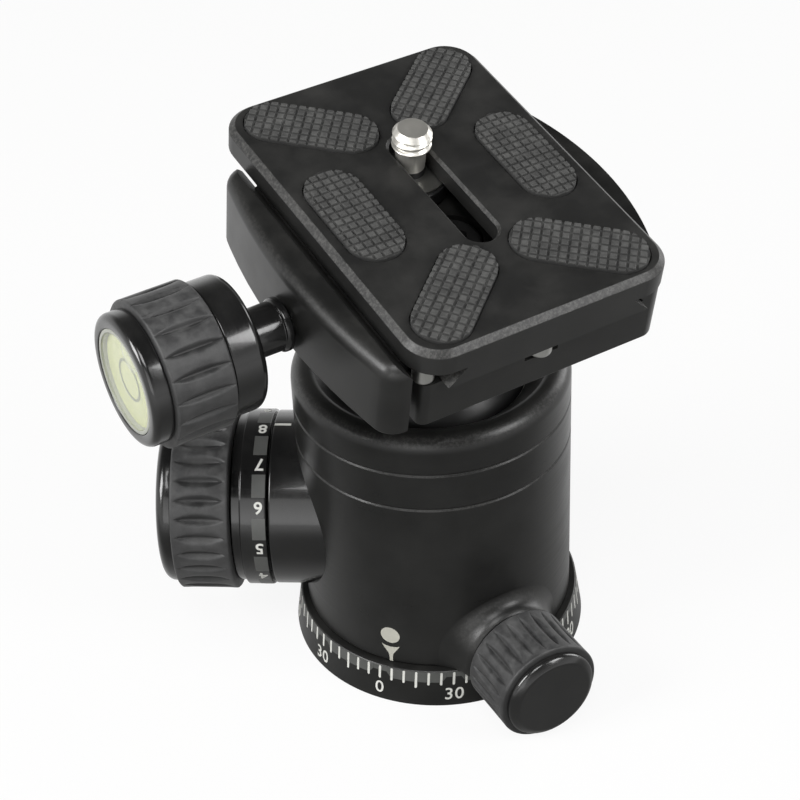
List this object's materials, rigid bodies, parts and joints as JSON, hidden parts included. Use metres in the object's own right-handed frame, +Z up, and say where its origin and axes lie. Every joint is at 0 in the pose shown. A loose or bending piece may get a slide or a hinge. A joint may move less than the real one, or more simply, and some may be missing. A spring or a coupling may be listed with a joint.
{
  "type": "tripod ball head",
  "caption": "Compact tripod ball head: panning base with a degree scale, ball in a socket with a lock knob and friction dial, and a screw clamp with a bubble level and a camera plate.",
  "frame": {"origin": "centre of the base's underside, at the mouth of the tripod thread", "axes": "+Z up through the base and the ball's centre, +X away from the clamp knob, -Y towards the lowered end of the plate"},
  "size_m": [0.0855, 0.0781, 0.0986],
  "materials": {
    "satin_black": "black anodised, fine satin",
    "gloss_black": "black anodised, glossy",
    "ball_black": "black anodised, smooth satin",
    "rubber": "dark grey moulded rubber",
    "pad_rubber": "dark grey rubber with a fine square grid",
    "steel": "turned steel",
    "bright_steel": "bright steel, threaded",
    "dark_steel": "blackened steel",
    "spring_steel": "spring steel",
    "brass": "turned brass",
    "pale_plastic": "low-friction plastic",
    "vial_plastic": "pale plastic",
    "level_fluid": "clear yellow-green fluid",
    "level_bubble": "clear bubble",
    "lens": "clear lens"
  },
  "bodies": {
    "base": {"pan_base": "satin_black", "pan_spindle": "steel", "pan_bearing": "pale_plastic", "thrust_washer": "steel", "spindle_nut": "steel"},
    "housing": {"housing": "satin_black", "housing_floor": "satin_black", "ball_seat_ring": "pale_plastic", "cup_spring": "spring_steel", "barrel_sleeve": "gloss_black", "disc_springs": "spring_steel", "pan_boss_collar": "steel"},
    "swivel": {"lower_ball_cup": "pale_plastic"},
    "tilt": {"ball_and_stem": "ball_black"},
    "clamp": {"clamp_body": "satin_black", "clamp_bolt": "steel", "clamp_washer": "steel"},
    "jaw": {"clamp_jaw": "satin_black", "guide_pins": "steel", "clamp_springs": "spring_steel"},
    "clamp_knob": {"clamp_knob_hub": "gloss_black", "clamp_knob_grip": "rubber", "clamp_knob_cap": "gloss_black", "clamp_lead_screw": "steel", "lead_screw_clip": "spring_steel", "level_vial": "vial_plastic", "level_lens": "lens"},
    "level_contents": {"level_fluid": "level_fluid", "level_bubble": "level_bubble"},
    "plate": {"quick_release_plate": "satin_black", "rubber_pads": "pad_rubber", "stop_screws": "dark_steel"},
    "screw_carrier": {"screw_clip": "steel"},
    "camera_screw": {"camera_screw": "bright_steel"},
    "main_knob": {"main_knob_hub": "satin_black", "main_knob_grip": "rubber", "main_knob_cap": "gloss_black", "lock_screw": "steel", "main_knob_screw": "steel"},
    "brake": {"brake_wedge": "brass"},
    "friction_dial": {"friction_dial": "gloss_black"},
    "pan_knob": {"pan_knob_hub": "satin_black", "pan_knob_grip": "rubber", "pan_knob_cap": "gloss_black", "pan_lock_screw": "steel"},
    "pan_plug": {"pan_brake_plug": "brass"}
  },
  "joints": [
    {"name": "pan", "type": "hinge", "parent": "base", "child": "housing", "pos_m": [0, 0, 0.0074], "axis": [0, 0, 1], "continuous": true},
    {"name": "ball_swivel", "type": "hinge", "parent": "housing", "child": "swivel", "pos_m": [0, 0, 0.04487], "axis": [0, 0, 1], "continuous": true},
    {"name": "ball_tilt", "type": "hinge", "parent": "swivel", "child": "tilt", "pos_m": [0, 0, 0.04487], "axis": [1, 0, 0], "range_deg": [-44.35, 21.65]},
    {"name": "ball_spin", "type": "hinge", "parent": "tilt", "child": "clamp", "pos_m": [0, 0, 0.04487], "axis": [0, -0.1968, 0.9804], "continuous": true},
    {"name": "jaw_slide", "type": "slide", "parent": "clamp", "child": "jaw", "axis": [-1, 0, 0], "range_m": [0, 0.003]},
    {"name": "clamp_knob_turn", "type": "hinge", "parent": "jaw", "child": "clamp_knob", "pos_m": [-0.03, -0.00679, 0.0787], "axis": [-1, 0, 0], "range_deg": [0, 1080]},
    {"name": "level_stays_up", "type": "hinge", "parent": "clamp_knob", "child": "level_contents", "pos_m": [-0.053, -0.00679, 0.0787], "axis": [-1, 0, 0], "range_deg": [-1080, 0]},
    {"name": "plate_slide", "type": "slide", "parent": "clamp", "child": "plate", "axis": [0, 0.9804, 0.1968], "range_m": [-0.0038, 0.0003]},
    {"name": "screw_slide", "type": "slide", "parent": "plate", "child": "screw_carrier", "axis": [0, 0.9804, 0.1968], "range_m": [-0.0203, 0.0015]},
    {"name": "camera_screw_turn", "type": "hinge", "parent": "screw_carrier", "child": "camera_screw", "pos_m": [0, 0.00372, 0.09355], "axis": [0, -0.1968, 0.9804], "continuous": true},
    {"name": "main_knob_turn", "type": "hinge", "parent": "housing", "child": "main_knob", "pos_m": [-0.02782, 0.01955, 0.0255], "axis": [0.8181, -0.575, 0], "range_deg": [0, 300]},
    {"name": "brake_slide", "type": "slide", "parent": "housing", "child": "brake", "axis": [0.8181, -0.575, 0], "range_m": [0, 0.00025]},
    {"name": "friction_dial_turn", "type": "hinge", "parent": "housing", "child": "friction_dial", "pos_m": [-0.02454, 0.01725, 0.0255], "axis": [0.8181, -0.575, 0], "range_deg": [-216, 27]},
    {"name": "pan_knob_turn", "type": "hinge", "parent": "housing", "child": "pan_knob", "pos_m": [-0.00131, -0.02997, 0.0097], "axis": [0.0436, 0.999, 0], "range_deg": [0, 270]},
    {"name": "pan_plug_slide", "type": "slide", "parent": "housing", "child": "pan_plug", "axis": [0.0436, 0.999, 0], "range_m": [0, 0.0004]}
  ],
  "couplings": [
    {"joint": "jaw_slide", "follows": "clamp_knob_turn", "m_per_rad": 0.00015915},
    {"joint": "level_stays_up", "follows": "clamp_knob_turn", "ratio": -1},
    {"joint": "brake_slide", "follows": "main_knob_turn", "m_per_rad": 0.000047746},
    {"joint": "pan_plug_slide", "follows": "pan_knob_turn", "m_per_rad": 0.000084883}
  ]
}
